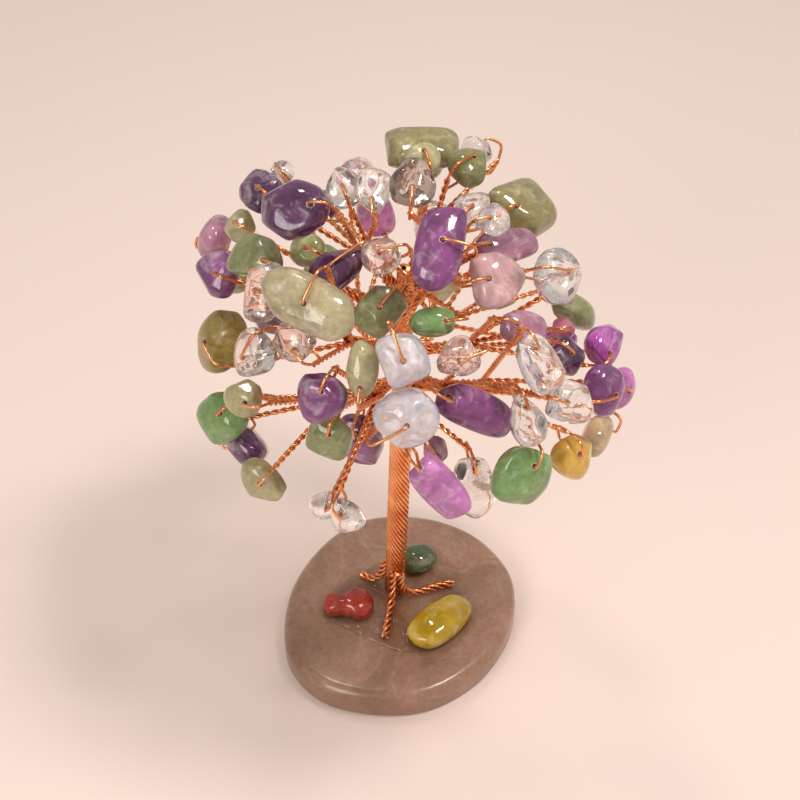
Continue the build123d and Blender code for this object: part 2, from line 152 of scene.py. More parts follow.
# Each limb's chips: piece, outline, (across, up, towards), hang, (length, width, thickness), hole, tint
CHIPS = {
    "crown_top": (
        ("green_chips", "block", (2.5, 28.5, 8), 90, (8.5, 13.5, 6), "end", "sage"),
        ("green_chips", "oval", (3, 26, 17), 100, (6, 6, 4.5), "middle", "pale_green"),
        ("green_chips", "shield", (10.5, 25.3, 13), 45, (7.5, 7.5, 5), "middle", "moss"),
        ("quartz_chips", "shield", (1.5, 22, 24), 84, (9, 7.5, 5.5), "end", "smoky"),
        ("quartz_chips", "oval", (12, 29, -1), 75, (6, 6.5, 4.5), "end", "clear"),
    ),
    "high_left": (
        ("amethyst_chips", "oval", (-17, 17.5, 24), 170, (12.5, 10.5, 8), "end", "dark_amethyst"),
        ("amethyst_chips", "block", (-23, 21.5, 10), 140, (7.5, 7, 5), "end", "dark_amethyst"),
        ("amethyst_chips", "oval", (-12.8, 20, 0), 130, (6, 5.5, 4.5), "end", "dark_amethyst"),
        ("quartz_chips", "oval", (-20, 25, 2), 130, (5, 4.5, 4), "middle", "clear"),
        ("quartz_chips", "shield", (-9.5, 22, 12), 110, (8, 6.5, 5), "end", "clear"),
        ("quartz_chips", "drop", (-4.8, 20.5, 20), 95, (9, 6.5, 5), "end", "clear"),
    ),
    "left_upper": (
        ("amethyst_chips", "block", (-31.5, 14.5, -2), 153, (8.5, 7, 5.5), "end", "mauve"),
        ("amethyst_chips", "shield", (-30.5, 8.5, 5), 161, (10, 8.5, 6), "end", "amethyst"),
        ("green_chips", "oval", (-26.5, 16, 7), 150, (6, 6, 4.5), "end", "pale_green"),
        ("green_chips", "wedge", (-23, 10.5, 15.5), 157, (10.5, 8.5, 6), "end", "green"),
        ("green_chips", "oval", (-15.5, 12, 10.7), 150, (6.5, 6, 4.5), "end", "green"),
    ),
    "left_middle": (
        ("quartz_chips", "rod", (-21.5, 5, 24), 165, (7, 10.5, 5), "middle", "blush"),
        ("quartz_chips", "shield", (-24, -5, 13), 225, (9, 8, 5.5), "middle", "clear"),
        ("quartz_chips", "oval", (-17, -2.5, 18), 135, (7.5, 7, 5), "end", "blush"),
        ("green_chips", "rod", (-14, 3, 33), 243, (9, 17, 6.5), "middle", "prehnite"),
        ("green_chips", "oval", (-30, -2.5, 3), 150, (9, 14, 7), "middle", "olive"),
    ),
    "left_lower": (
        ("green_chips", "oval", (-25, -11.5, 18), 180, (7.5, 6.5, 5), "end", "pale_green"),
        ("green_chips", "block", (-29.5, -15, 8), 215, (10, 9, 6), "end", "deep_green"),
        ("amethyst_chips", "block", (-26, -20.5, -1), 244, (8.5, 10, 6), "end", "dark_amethyst"),
        ("green_drop", "shield", (-23, -25.5, 8), 228, (8, 9, 5), "end", "pale_green"),
    ),
    "front_left": (
        ("amethyst_chips", "shield", (-12.7, -11.5, 26), 244, (9, 8.5, 6), "end", "amethyst"),
        ("amethyst_chips", "rod", (-7, -19, 1), 260, (12, 8, 6), "end", "amethyst"),
        ("green_chips", "block", (-11.5, -17.5, 18), 250, (7.5, 7.5, 5), "end", "green"),
        ("green_chips", "oval", (-6.1, -6.5, 29), 85, (10, 5.5, 5), "end", "pale_green"),
        ("quartz_drop_rear", "drop", (-12.5, -29, 9), 235, (6.5, 5, 4), "end", "clear"),
        ("quartz_drop_fore", "drop", (-9, -30, 16), 285, (7, 6, 4.5), "end", "clear"),
    ),
    "front": (
        ("opalite_chips", "block", (0, -5, 34), 290, (8.5, 7.5, 6.5), "middle", "opalite"),
        ("opalite_chips", "oval", (0.5, -14, 30), 30, (10.5, 10, 8), "middle", "opalite"),
        ("amethyst_drop", "rod", (5.5, -25, 22), 303, (16, 6.5, 5.5), "end", "lilac"),
        ("quartz_drop", "rod", (11.5, -26, 11), 285, (14.5, 7, 5.5), "end", "clear"),
    ),
    "front_right": (
        ("quartz_chips", "shield", (8, -5, 30), 200, (7.5, 6.5, 5), "middle", "blush"),
        ("quartz_chips", "drop", (18.8, -14.2, 26.5), 295, (9.5, 6, 5), "end", "clear"),
        ("amethyst_chips", "rod", (11, -13, 23), 330, (14.5, 7, 6), "end", "amethyst"),
        ("amethyst_chips", "oval", (5, -19.5, 18), 300, (5, 4.5, 4), "middle", "mauve"),
        ("green_drop", "block", (18.5, -23.5, 19), 260, (10.5, 10, 6), "end", "deep_green"),
        ("citrine_drop", "shield", (27.5, -21.5, 8), 300, (9, 8.5, 5.5), "end", "citrine"),
    ),
    "right_lower": (
        ("quartz_chips", "rod", (20.6, -6, 29.5), 300, (10.5, 6.5, 5), "end", "clear"),
        ("quartz_chips", "block", (26, -12, 21), 340, (9, 7, 5), "end", "clear"),
        ("amethyst_chips", "oval", (32, -10.5, 12), 0, (8, 10, 6), "middle", "amethyst"),
        ("amethyst_chips", "oval", (36, -10.5, 0), 340, (6, 8, 5), "end", "lilac"),
        ("green_drop", "oval", (32.5, -18.5, -2), 325, (9, 7, 5), "end", "straw"),
    ),
    "right_middle": (
        ("green_chips", "rod", (28, 2.5, 2.5), 348, (12, 5.5, 5), "end", "green"),
        ("amethyst_chips", "rod", (19, -0.5, 19), 345, (9.5, 6, 5), "end", "mauve"),
        ("amethyst_chips", "oval", (25.8, -0.6, 8), 0, (4.5, 4, 3.5), "middle", "rose"),
        ("amethyst_chips", "block", (26.2, -4.8, 12.5), 330, (6.5, 5.5, 4.5), "end", "dark_amethyst"),
        ("amethyst_chips", "shield", (32.8, -2.8, 6), 28, (9, 7, 5.5), "end", "violet"),
    ),
    "right_upper": (
        ("quartz_chips", "shield", (11, 18.3, 18), 45, (7, 6, 4.5), "end", "clear"),
        ("quartz_chips", "drop", (13.5, 16, 23.5), 20, (6, 5.5, 4), "end", "clear"),
        ("quartz_chips", "oval", (24.5, 7.8, 13), 0, (9, 10, 6), "middle", "clear"),
        ("green_chips", "block", (19.5, 19, 4), 35, (12.5, 11, 7), "end", "sage"),
        ("amethyst_chips", "rod", (16, 12.5, 16), 15, (12, 6, 5), "end", "mauve"),
        ("amethyst_chips", "shield", (14.5, 7, 24), 10, (9.5, 10, 6), "end", "pale_mauve"),
    ),
    "front_top": (
        ("amethyst_chips", "rod", (5.5, 12, 30), 166, (8, 16.5, 6.5), "middle", "amethyst"),
        ("amethyst_chips", "wedge", (-10.5, 8.5, 18), 212, (11, 7.5, 6), "middle", "dark_amethyst"),
        ("quartz_chips", "oval", (-3.5, 10.5, 24), 195, (6.5, 6.5, 5), "middle", "blush"),
        ("green_chips", "block", (-3.5, 2.5, 20), 230, (9.5, 7, 5.5), "middle", "green"),
        ("green_chips", "oval", (4.5, 0.5, 26), 185, (8, 5, 4.5), "end", "deep_green"),
    ),
    "back_left": (
        ("amethyst_chips", "block", (-17, 20, -10), 120, (9, 8, 6), "end", "amethyst"),
        ("amethyst_chips", "shield", (-24, 2, -20), 180, (9, 8, 6), "end", "dark_amethyst"),
        ("amethyst_chips", "rod", (-5, 20, -22), 110, (11, 7, 6), "end", "lilac"),
        ("green_chips", "oval", (-29, 9, -12), 165, (9, 8, 6), "end", "green"),
        ("green_chips", "block", (-14, 10, -26), 140, (9, 8, 6), "end", "deep_green"),
        ("quartz_chips", "shield", (-8, 26, -8), 100, (8, 7, 5), "end", "clear"),
        ("quartz_chips", "oval", (-27, -5, -14), 195, (8, 7, 5), "end", "clear"),
    ),
    "back_right": (
        ("amethyst_chips", "shield", (18, 18, -14), 45, (10, 8, 6), "end", "dark_amethyst"),
        ("amethyst_chips", "block", (27, -4, -18), 350, (9, 8, 6), "end", "amethyst"),
        ("green_chips", "oval", (3, 28, -12), 80, (9, 8, 6), "end", "sage"),
        ("green_chips", "shield", (18, 7, -25), 30, (9, 8, 6), "end", "green"),
        ("green_chips", "block", (6.5, 8, -31), 50, (8, 7, 5.5), "end", "pale_green"),
        ("quartz_chips", "oval", (27, 7, -14), 15, (9, 7, 5.5), "end", "clear"),
        ("quartz_chips", "rod", (5, 18.5, -25), 75, (10, 7, 5.5), "end", "blush"),
    ),
}

# Base stones: gem, outline, middle on the slab, turn, (length, width, thickness), tint
STONE_SINK = 0.4
BASE_STONES = {
    "carnelian_stone": ("carnelian", "twin", (-10.1, -1.7), 8, (11, 7.5, 4.6), "#b23010"),
    "citrine_stone": ("citrine", "rod", (7.6, -6), 42, (15.5, 8.5, 5.2), "#e6bc14"),
    "aventurine_stone": ("green", "oval", (3.4, 9.2), 20, (8, 6.5, 5), "#66784a"),
}

# Roots: strands that run down the trunk's side and spread over the slab; side in degrees, and tip
ROOT_RUN_UP = 7.0
ROOT_BEND = 2.2
ROOT_KNEE_RISE = 1.2 * ROOT_BEND
ROOT_TUCK = 0.7
ROOTS = (
    (165, (-7.7, 6.2)),
    (260, (-2.9, -8.7)),
    (302, (10.3, 4.3)),
)

WIRE_RADIUS = WIRE_DIAMETER / 2
TWIG_RADIUS = TWIG_DIAMETER / 2
LIMB_RADIUS = LIMB_DIAMETER / 2
HEAD_LEVEL = SLAB_THICKNESS + TRUNK_HEIGHT
ACROSS = Vector((1, 0, 0))
UP = Vector((0, math.sin(math.radians(LOOK_DOWN)), math.cos(math.radians(LOOK_DOWN))))
TOWARDS = ACROSS.cross(UP)
CROWN_CENTRE = Vector((*TRUNK_HEAD, HEAD_LEVEL + CROWN_RISE))

# How the wire is laid: a lead is the length of one turn, negative where the lay is left-handed
TRUNK_STRANDS = 16
TRUNK_WIRE = 0.66
TRUNK_LEAD = -23.5
PAIR_STRANDS = 2
SINGLE_STRAND = 1
NO_TWIST = 0.0
PAIR_LEAD = 3.0
ROPE_LEAD = 14.0
ROPE_RADIUS = 0.62
ROOT_STRANDS = 3
ROOT_WIRE = 0.7
ROOT_LEAD = 5.0
WIRE_SIDES = 8
PAIR_STEP = 0.24
TRUNK_STEP = 0.5

# Where a limb's rope starts inside the trunk: distance out from the axis, and depth below the limb
ROPE_START = ((0.6, 9.0), (1.1, 4.0))

# Half of the eye of wire, from the knot to the hole, as shares of its reach and of its rise
EYE_SHAPE = ((-1, 0), (-0.92, 0.72), (-0.72, 1), (-0.16, 1), (0, 0.82))

# Points drawn between two given points of a curve
SHORT_CURVE_STEPS = 6
LONG_CURVE_STEPS = 8
OUTLINE_STEPS = 12
BOTTOM_EDGE_STEPS = 4
TOP_EDGE_STEPS = 8

# Tumbling: how far a chip's corners are worn to soft flats and its faces to shallow waves
CHIP_SEED = 101
STONE_SEED = 500
CHIP_POWER = 2.3
CHIP_FLATS = 12
CHIP_FLAT_DEPTH = (0.74, 0.97)
STONE_FLAT_DEPTH = (0.88, 0.98)
CHIP_FLAT_SOFTNESS = 0.09
CHIP_WAVES = 4
CHIP_WAVE_RATE = 5.0
CHIP_WAVE = 0.06
HOLE_SIDES = 20
HOLE_EDGE_ANGLE = 50
SPHERE_LEVEL = 5

# Tints of the chips as sRGB
TINTS = {
    "dark_amethyst": "#623260",
    "amethyst": "#94508c",
    "lilac": "#d888cc",
    "violet": "#b950b4",
    "mauve": "#bd86a0",
    "pale_mauve": "#e0b4b6",
    "rose": "#c87890",
    "green": "#a0a66e",
    "deep_green": "#8bb068",
    "pale_green": "#c8be8c",
    "sage": "#a69c66",
    "moss": "#98965e",
    "prehnite": "#c2b48c",
    "olive": "#b09848",
    "straw": "#e6ca9e",
    "clear": "#fffaf7",
    "blush": "#fae4da",
    "smoky": "#ccb8aa",
    "opalite": "#f6f4ff",
    "citrine": "#f0c452",
}

# Stage, lamps and camera: a lamp's place, size and power; the camera looks as the photograph does
FLOOR_SIZE = 4000.0
LAMPS = {
    "window": ((150, -20, 440), 90, 1.0),
    "fill": ((-220, -300, 300), 200, 0.65),
    "spark": ((-60, 160, 420), 50, 0.2),
}
LAMP_COLOUR = "#fffaf5"
ROOM_COLOUR = "#fffaf6"
ROOM_LIGHT = 0.5
CAMERA_DISTANCE = 300.0
CLIP_START = 10.0
CLIP_END = 20000.0
FOCAL_PIXELS = 1800.0
IMAGE_PIXELS = 800.0
CROWN_PIXEL = (405.0, 325.0)
SENSOR = 36.0

# Node kinds
NOISE = "ShaderNodeTexNoise"
RAMP = "ShaderNodeValToRGB"
MIX = "ShaderNodeMixRGB"
SPREAD = "ShaderNodeMapRange"
BUMP = "ShaderNodeBump"
SHADER = "ShaderNodeBsdfPrincipled"
OUTPUT = "ShaderNodeOutputMaterial"
MATH = "ShaderNodeMath"
VECTOR = "ShaderNodeVectorMath"


def linear(hex_colour):
    """An sRGB hex colour as linear red, green, blue and alpha."""
    channels = [int(hex_colour[i:i + 2], 16) / 255 for i in (1, 3, 5)]
    return (*[c / 12.92 if c <= 0.04045 else ((c + 0.055) / 1.055) ** 2.4 for c in channels], 1.0)


def grey(value):
    """A grey of this linear value."""
    return (value, value, value, 1.0)


def per_mm(size):
    """Texture scale, in Object coordinates of metres, of a pattern whose cells are this many millimetres."""
    return 1 / (size * MM)


def add(tree, kind, inputs=None, stops=(), **settings):
    """Add a node with its settings, links and colour stops; an input node gives its first output."""
    node = tree.nodes.new(kind)
    for name, value in settings.items():
        setattr(node, name, value)
    for name, value in (inputs or {}).items():
        if isinstance(value, bpy.types.Node):
            value = value.outputs[0]
        if isinstance(value, bpy.types.NodeSocket):
            tree.links.new(value, node.inputs[name])
        else:
            node.inputs[name].default_value = value
    if stops:
        elements = node.color_ramp.elements
        while len(elements) < len(stops):
            elements.new(0.5)
        for element, (position, colour) in zip(elements, stops):
            element.position = position
            element.color = colour
    return node


# Materials
def new_material(name):
    """An empty material and its Object coordinates."""
    material = bpy.data.materials.new(name)
    material.use_nodes = True
    tree = material.node_tree
    tree.nodes.clear()
    return material, tree, add(tree, "ShaderNodeTexCoord").outputs["Object"]


def drawn_copper():
    """Bare drawn copper wire: bright and warm, with darker bands where it has been handled."""
    material, tree, place = new_material("drawn_copper_wire")
    tarnish = add(tree, NOISE, {"Vector": place, "Scale": per_mm(6), "Detail": 3.0})
    colour = add(tree, RAMP, {"Fac": tarnish},
                 ((0.3, linear("#dc8450")), (0.52, linear("#f6a870")), (0.75, linear("#ffc894"))))
    # Real draw marks are finer than this and would not show
    draw_marks = add(tree, NOISE, {"Vector": place, "Scale": per_mm(0.7), "Detail": 2.0})
    rough = add(tree, SPREAD, {"Value": draw_marks, "To Min": 0.16, "To Max": 0.36})
    shader = add(tree, SHADER, {"Base Color": colour, "Roughness": rough, "Metallic": 1.0})
    add(tree, OUTPUT, {"Surface": shader})
    return material


def gem(name, transmission, roughness, depth, veil, zone_size=5, mottle=0.0, ior=1.54, glow=0.0):
    """Tumbled gem: the chip's own tint, darker and paler zones inside it, pale wisps and a wet polish."""
    material, tree, place = new_material(name)
    tint = add(tree, "ShaderNodeAttribute", attribute_name="tint")
    zones = add(tree, NOISE, {"Vector": place, "Scale": per_mm(zone_size), "Detail": 3.0, "Roughness": 0.55,
                              "Distortion": 0.9})
    shade = add(tree, RAMP, {"Fac": zones},
                ((0.3, grey(1 - depth)), (0.5, grey(1.0)), (0.7, grey(1 + depth))))
    toned = add(tree, MIX, {"Fac": 1.0, "Color1": tint, "Color2": shade}, blend_type="MULTIPLY")
    wisps = add(tree, NOISE, {"Vector": place, "Scale": per_mm(zone_size * 0.6), "Detail": 4.0,
                              "Roughness": 0.6, "Distortion": 0.7})
    pale = add(tree, RAMP, {"Fac": wisps}, ((0.52, grey(0.0)), (0.75, grey(veil))))
    colour = add(tree, MIX, {"Fac": pale, "Color1": toned, "Color2": linear("#f6ebe6")})
    if mottle:
        grains = add(tree, NOISE, {"Vector": place, "Scale": per_mm(0.9), "Detail": 4.0, "Roughness": 0.7})
        spots = add(tree, RAMP, {"Fac": grains}, ((0.36, grey(1 - mottle)), (0.6, grey(1.0))))
        colour = add(tree, MIX, {"Fac": 1.0, "Color1": colour, "Color2": spots}, blend_type="MULTIPLY")
    light_through = add(tree, SPREAD, {"Value": wisps, "From Min": 0.45, "From Max": 0.75,
                                       "To Min": transmission, "To Max": transmission * 0.5})
    wear = add(tree, NOISE, {"Vector": place, "Scale": per_mm(1.8), "Detail": 2.0})
    raised = add(tree, BUMP, {"Height": wear, "Distance": 0.16 * MM, "Strength": 0.5})
    shader = add(tree, SHADER, {
        "Base Color": colour,
        "Roughness": roughness,
        "IOR": ior,
        "Transmission Weight": light_through,
        "Coat Weight": 0.5,
        "Coat Roughness": 0.03,
        "Subsurface Weight": glow,
        "Subsurface Radius": (3 * MM, 2.4 * MM, 2 * MM),
        "Normal": raised,
    })
    add(tree, OUTPUT, {"Surface": shader})
    return material


def polished_agate():
    """Polished grey-brown agate: cloudy, faintly banded, with a few paler veins and a satin gloss."""
    material, tree, place = new_material("polished_agate_slab")
    clouds = add(tree, NOISE, {"Vector": place, "Scale": per_mm(16), "Detail": 6.0, "Roughness": 0.62,
                               "Distortion": 0.6})
    colour = add(tree, RAMP, {"Fac": clouds}, ((0.25, linear("#7c5a44")), (0.45, linear("#936d54")),
                                               (0.6, linear("#a67c64")), (0.8, linear("#b9937c"))))
    veins = add(tree, NOISE, {"Vector": place, "Scale": per_mm(14), "Detail": 2.0, "Distortion": 0.8})
    lines = add(tree, RAMP, {"Fac": veins}, ((0.46, grey(0.0)), (0.5, grey(0.16)), (0.54, grey(0.0))))
    veined = add(tree, MIX, {"Fac": lines, "Color1": colour, "Color2": linear("#c3a794")})
    grains = add(tree, NOISE, {"Vector": place, "Scale": per_mm(0.8), "Detail": 3.0})
    grain = add(tree, RAMP, {"Fac": grains}, ((0.3, grey(0.84)), (0.7, grey(1.1))))
    final = add(tree, MIX, {"Fac": 1.0, "Color1": veined, "Color2": grain}, blend_type="MULTIPLY")
    raised = add(tree, BUMP, {"Height": clouds, "Distance": 0.25 * MM, "Strength": 0.35})
    shader = add(tree, SHADER, {
        "Base Color": final,
        "Roughness": 0.3,
        "Coat Weight": 0.35,
        "Coat Roughness": 0.08,
        "Normal": raised,
    })
    add(tree, OUTPUT, {"Surface": shader})
    return material


def clear_glue():
    """Clear craft glue, set hard: the slab shows through and only the gloss of its outer face is seen."""
    material, tree, place = new_material("clear_craft_glue")
    ripples = add(tree, NOISE, {"Vector": place, "Scale": per_mm(2.2), "Detail": 2.0})
    raised = add(tree, BUMP, {"Height": ripples, "Distance": 0.5 * MM})
    clear = add(tree, "ShaderNodeBsdfTransparent", {"Color": linear("#fdfbf8")})
    gloss = add(tree, "ShaderNodeBsdfGlossy", {"Roughness": 0.05, "Normal": raised})
    rim = add(tree, "ShaderNodeFresnel", {"IOR": 1.46, "Normal": raised})
    inside = add(tree, "ShaderNodeNewGeometry").outputs["Backfacing"]
    outside = add(tree, MATH, {0: 1.0, 1: inside}, operation="SUBTRACT")
    sheen = add(tree, MATH, {0: rim, 1: outside}, operation="MULTIPLY")
    surface = add(tree, "ShaderNodeMixShader", {0: sheen, 1: clear, 2: gloss})
    add(tree, OUTPUT, {"Surface": surface})
    return material


def pale_floor():
    """Matt warm-white floor."""
    material, tree, _ = new_material("pale_floor")
    shader = add(tree, SHADER, {"Base Color": linear("#ecd8ce"), "Roughness": 0.85})
    add(tree, OUTPUT, {"Surface": shader})
    return material


COPPER = drawn_copper()
GEMS = {
    # Violet and half clear, with strong zones
    "amethyst": gem("tumbled_amethyst", transmission=0.45, roughness=0.10, depth=0.45, veil=0.5, glow=0.3),
    # Waxy green, with fine darker grains
    "green": gem("tumbled_aventurine", transmission=0.3, roughness=0.12, depth=0.2, veil=0.35, mottle=0.25,
                 glow=0.4),
    # Clear as glass, with pale wisps
    "quartz": gem("clear_rock_crystal", transmission=0.97, roughness=0.03, depth=0.08, veil=0.6),
    # Milky, and lit from inside
    "opalite": gem("milky_opalite", transmission=0.7, roughness=0.05, depth=0.08, veil=0.5, zone_size=6,
                   ior=1.47, glow=0.7),
    # Honey yellow, half clear
    "citrine": gem("tumbled_citrine", transmission=0.4, roughness=0.08, depth=0.25, veil=0.35, glow=0.3),
    # Deep orange-red, with hardly any wisps
    "carnelian": gem("tumbled_carnelian", transmission=0.3, roughness=0.08, depth=0.35, veil=0.05,
                     zone_size=4, glow=0.3),
}


# Objects and curves
def new_object(name, data):
    """A new object in the scene."""
    thing = bpy.data.objects.new(name, data)
    bpy.context.scene.collection.objects.link(thing)
    return thing


def plain_mesh(thing):
    """The mesh that an object's modifiers give."""
    graph = bpy.context.evaluated_depsgraph_get()
    return bpy.data.meshes.new_from_object(thing.evaluated_get(graph), depsgraph=graph)


def piece(name, meshes, nodes, material=COPPER):
    """One object made of these meshes, standing for CAD nodes."""
    work = bmesh.new()
    for mesh in meshes:
        work.from_mesh(mesh)
    whole = bpy.data.meshes.new(name)
    work.to_mesh(whole)
    work.free()
    whole.materials.append(material)
    thing = new_object(name, whole)
    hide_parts(*nodes)
    return thing


def smooth_spans(points, steps):
    """Points on a smooth curve from the second of these points to the last but one."""
    found = []
    for a, b, c, d in zip(points, points[1:], points[2:], points[3:]):
        for step in range(steps):
            t = step / steps
            found.append(0.5 * (2 * b + (c - a) * t + (2 * a - 5 * b + 4 * c - d) * t ** 2
                                + (3 * b - a - 3 * c + d) * t ** 3))
    return found


def through(points, steps):
    """Points on a smooth open curve through these points."""
    before = points[0] * 2 - points[1]
    after = points[-1] * 2 - points[-2]
    return smooth_spans([before, *points, after], steps) + [Vector(points[-1])]


def closed_outline(points):
    """Points on a smooth closed outline through these points."""
    flat = [Vector(p) for p in points]
    return smooth_spans([flat[-1], *flat, *flat[:2]], OUTLINE_STEPS)


def quarter_turn(steps):
    """Angles of a quarter of a turn."""
    return [math.radians(90 * step / steps) for step in range(steps + 1)]


# Wire: one Geometry Nodes tree lays strands round a path
def twisted_wire_tree():
    """Strands laid in a helix round each path; a path's radius scales the helix."""
    tree = bpy.data.node_groups.new("twisted_wire", "GeometryNodeTree")
    sockets = {"Paths": "Geometry", "Strands": "Int", "Helix Radius": "Float", "Lead": "Float",
               "Wire Diameter": "Float", "Step": "Float", "Sides": "Int", "Material": "Material"}
    for name, kind in sockets.items():
        tree.interface.new_socket(name, in_out="INPUT", socket_type=f"NodeSocket{kind}")
    tree.interface.new_socket("Wire", in_out="OUTPUT", socket_type="NodeSocketGeometry")
    given = add(tree, "NodeGroupInput").outputs
    even = add(tree, "GeometryNodeResampleCurve", {"Curve": given["Paths"], "Length": given["Step"]},
               mode="LENGTH")
    copies = add(tree, "GeometryNodeDuplicateElements", {"Geometry": even, "Amount": given["Strands"]},
                 domain="SPLINE")

    # The angle of each point round its path
    run = add(tree, "GeometryNodeSplineParameter").outputs["Length"]
    turns = add(tree, MATH, {0: run, 1: given["Lead"]}, operation="DIVIDE")
    share = add(tree, MATH, {0: copies.outputs["Duplicate Index"], 1: given["Strands"]}, operation="DIVIDE")
    both = add(tree, MATH, {0: turns, 1: share}, operation="ADD")
    angle = add(tree, MATH, {0: both, 1: 2 * math.pi}, operation="MULTIPLY")
    cosine = add(tree, MATH, {0: angle}, operation="COSINE")
    sine = add(tree, MATH, {0: angle}, operation="SINE")

    # Its place on the helix
    normal = add(tree, "GeometryNodeInputNormal")
    tangent = add(tree, "GeometryNodeInputTangent")
    beside = add(tree, VECTOR, {0: tangent, 1: normal}, operation="CROSS_PRODUCT")
    first = add(tree, VECTOR, {0: normal, "Scale": cosine}, operation="SCALE")
    second = add(tree, VECTOR, {0: beside, "Scale": sine}, operation="SCALE")
    ring = add(tree, VECTOR, {0: first, 1: second}, operation="ADD")
    taper = add(tree, "GeometryNodeInputRadius")
    width = add(tree, MATH, {0: given["Helix Radius"], 1: taper}, operation="MULTIPLY")
    offset = add(tree, VECTOR, {0: ring, "Scale": width}, operation="SCALE")
    laid = add(tree, "GeometryNodeSetPosition", {"Geometry": copies, "Offset": offset})

    # The round wire along it
    plain = add(tree, "GeometryNodeSetCurveRadius", {"Curve": laid, "Radius": 1.0})
    half = add(tree, MATH, {0: given["Wire Diameter"], 1: 0.5}, operation="MULTIPLY")
    section = add(tree, "GeometryNodeCurvePrimitiveCircle", {"Resolution": given["Sides"], "Radius": half})
    tube = add(tree, "GeometryNodeCurveToMesh", {"Curve": plain, "Profile Curve": section, "Fill Caps": True})
    smooth = add(tree, "GeometryNodeSetShadeSmooth", {"Geometry": tube})
    real = add(tree, "GeometryNodeRealizeInstances", {"Geometry": smooth})
    finished = add(tree, "GeometryNodeSetMaterial", {"Geometry": real, "Material": given["Material"]})
    add(tree, "NodeGroupOutput", {"Wire": finished})
    return tree


WIRE_TREE = twisted_wire_tree()


def wire_mesh(paths, strands, helix_radius, lead, diameter, step, tapers=None):
    """A mesh of strands laid round each path; paths are points in millimetres."""
    curve = bpy.data.curves.new("wire_paths", "CURVE")
    curve.dimensions = "3D"
    for number, points in enumerate(paths):
        spline = curve.splines.new("POLY")
        spline.points.add(len(points) - 1)
        for index, point in enumerate(points):
            spline.points[index].co = (*[c * MM for c in point], 1.0)
            spline.points[index].radius = tapers[number][index] if tapers else 1.0
    holder = new_object("wire_paths", curve)
    modifier = holder.modifiers.new("twist", "NODES")
    modifier.node_group = WIRE_TREE
    values = {
        "Strands": strands,
        "Helix Radius": helix_radius * MM,
        "Lead": lead * MM,
        "Wire Diameter": diameter * MM,
        "Step": step * MM,
        "Sides": WIRE_SIDES,
        "Material": COPPER,
    }
    for item in WIRE_TREE.interface.items_tree:
        if item.in_out == "INPUT" and item.name in values:
            modifier[item.identifier] = values[item.name]
    mesh = plain_mesh(holder)
    holder.modifiers.remove(modifier)
    bpy.data.objects.remove(holder)
    return mesh


# Chips and limbs, placed as in the CAD source
def pebble_half_thickness(share, thickness):
    """Half of a pebble's thickness where an outline of this share of the full size passes."""
    for (low, wide), (high, narrow) in zip(PEBBLE_PROFILE, PEBBLE_PROFILE[1:]):
        if narrow <= share <= wide:
            return thickness * (low + (high - low) * (wide - share) / (wide - narrow))
    return thickness * PEBBLE_PROFILE[-1][0]


class Chip:
    """A drilled chip's place, its hole and the eye of wire that holds it."""

    def __init__(self, row):
        self.piece, self.outline, place, hang, self.size, hole, self.tint = row
        length, width, thickness = self.size
        across, up, towards = place
        self.middle = CROWN_CENTRE + ACROSS * across + UP * up + TOWARDS * towards
        outward = (self.middle - CROWN_CENTRE).normalized()
        self.facing = outward if towards < 0 else (outward + TOWARDS * FACE_TURN).normalized()
        along = ACROSS * math.cos(math.radians(hang)) + UP * math.sin(math.radians(hang))
        self.along = (along - self.facing * along.dot(self.facing)).normalized()
        self.beside = self.facing.cross(self.along)
        margin = HOLE_MARGIN if hole == "end" else length / 2
        hole_x = margin - length / 2
        self.hole = self.middle + self.along * hole_x
        self.reach = margin * SWING_ROOM + WIRE_RADIUS + EDGE_CLEARANCE
        half = pebble_half_thickness(abs(hole_x) / (length / 2), thickness)
        self.rise = half + WIRE_RADIUS + FACE_CLEARANCE
        self.knot = self.hole - self.along * self.reach

    def eye(self):
        """The single wire from the knot, over the chip's edge, through the hole and back."""
        over = [(x * self.reach, z * self.rise) for x, z in EYE_SHAPE]
        under = [(x, -z) for x, z in reversed(over)]
        shape = (*over, (0, 0), *under)
        return through([self.hole + self.along * x + self.facing * z for x, z in shape], SHORT_CURVE_STEPS)


